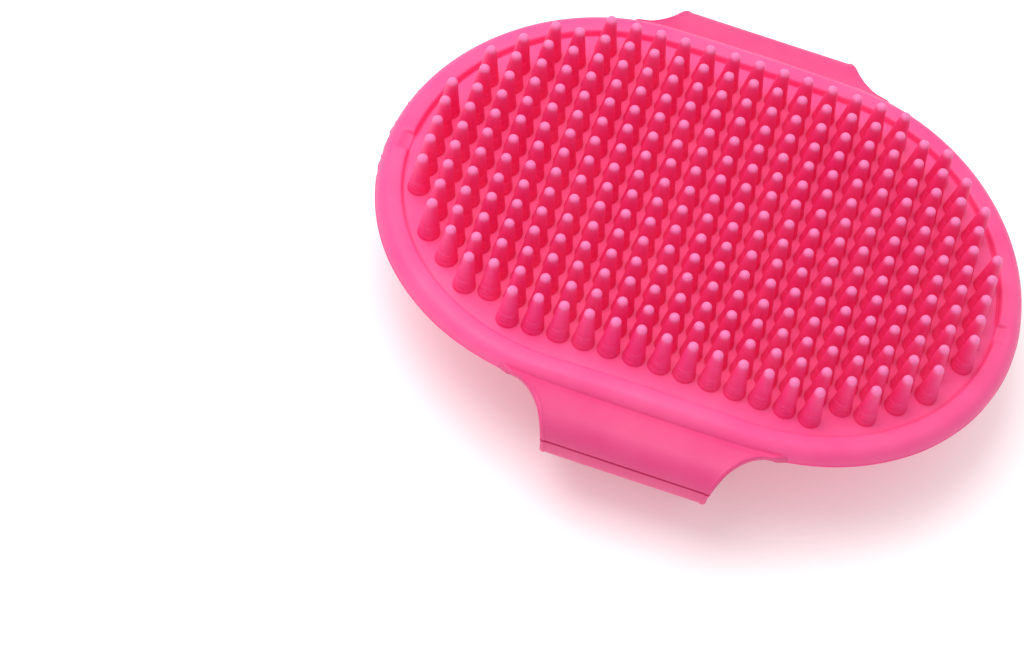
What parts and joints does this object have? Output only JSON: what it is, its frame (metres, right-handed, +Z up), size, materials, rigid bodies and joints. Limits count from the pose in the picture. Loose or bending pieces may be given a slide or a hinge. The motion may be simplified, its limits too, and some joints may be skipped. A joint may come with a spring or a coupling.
{
  "type": "rubber curry brush",
  "caption": "Oval arched rubber palm brush with rows of tapered pins, a rounded rim and a studded strap that closes into a hand loop.",
  "frame": {"origin": "on the surface that the brush stands on, under the middle of the pad", "axes": "+X along the oval pad, +Y across it towards the hole strap's side, +Z up through the pins"},
  "size_m": [0.129, 0.1098, 0.036],
  "materials": {
    "pad_rubber": "satin",
    "pin_rubber": "satin",
    "strap_rubber": "satin"
  },
  "bodies": {
    "pad": {"base_plate": "pad_rubber", "rim_bead": "pad_rubber", "front_strap_root": "strap_rubber", "back_strap_root": "strap_rubber", "pin_row_01": "pin_rubber", "pin_row_02": "pin_rubber", "pin_row_03": "pin_rubber", "pin_row_04": "pin_rubber", "pin_row_05": "pin_rubber", "pin_row_06": "pin_rubber", "pin_row_07": "pin_rubber", "pin_row_08": "pin_rubber", "pin_row_09": "pin_rubber", "pin_row_10": "pin_rubber", "pin_row_11": "pin_rubber", "pin_row_12": "pin_rubber", "pin_row_13": "pin_rubber", "pin_row_14": "pin_rubber", "pin_row_15": "pin_rubber"},
    "front_strap": {"front_strap_bend": "strap_rubber"},
    "stud_end": {"stud_tongue": "strap_rubber", "strap_studs": "strap_rubber"},
    "back_strap": {"back_strap_bend": "strap_rubber"},
    "hole_end": {"hole_tongue": "strap_rubber"}
  },
  "joints": [
    {"name": "front_strap_open", "type": "hinge", "parent": "pad", "child": "front_strap", "pos_m": [0, -0.0542, 0.0188], "axis": [1, 0, 0], "range_deg": [-75, 0]},
    {"name": "stud_end_peel", "type": "hinge", "parent": "front_strap", "child": "stud_end", "pos_m": [0, -0.032, 0.0007], "axis": [1, 0, 0], "range_deg": [-60, 0], "deforming": ["strap_studs"]},
    {"name": "back_strap_open", "type": "hinge", "parent": "pad", "child": "back_strap", "pos_m": [0, 0.0542, 0.0188], "axis": [1, 0, 0], "range_deg": [0, 40]},
    {"name": "hole_end_peel", "type": "hinge", "parent": "back_strap", "child": "hole_end", "pos_m": [0, 0.032, 0.0007], "axis": [1, 0, 0], "range_deg": [0, 33]}
  ],
  "couplings": [
    {"joint": "back_strap_open", "follows": "front_strap_open", "ratio": -0.5},
    {"joint": "hole_end_peel", "follows": "front_strap_open", "ratio": -0.4}
  ]
}
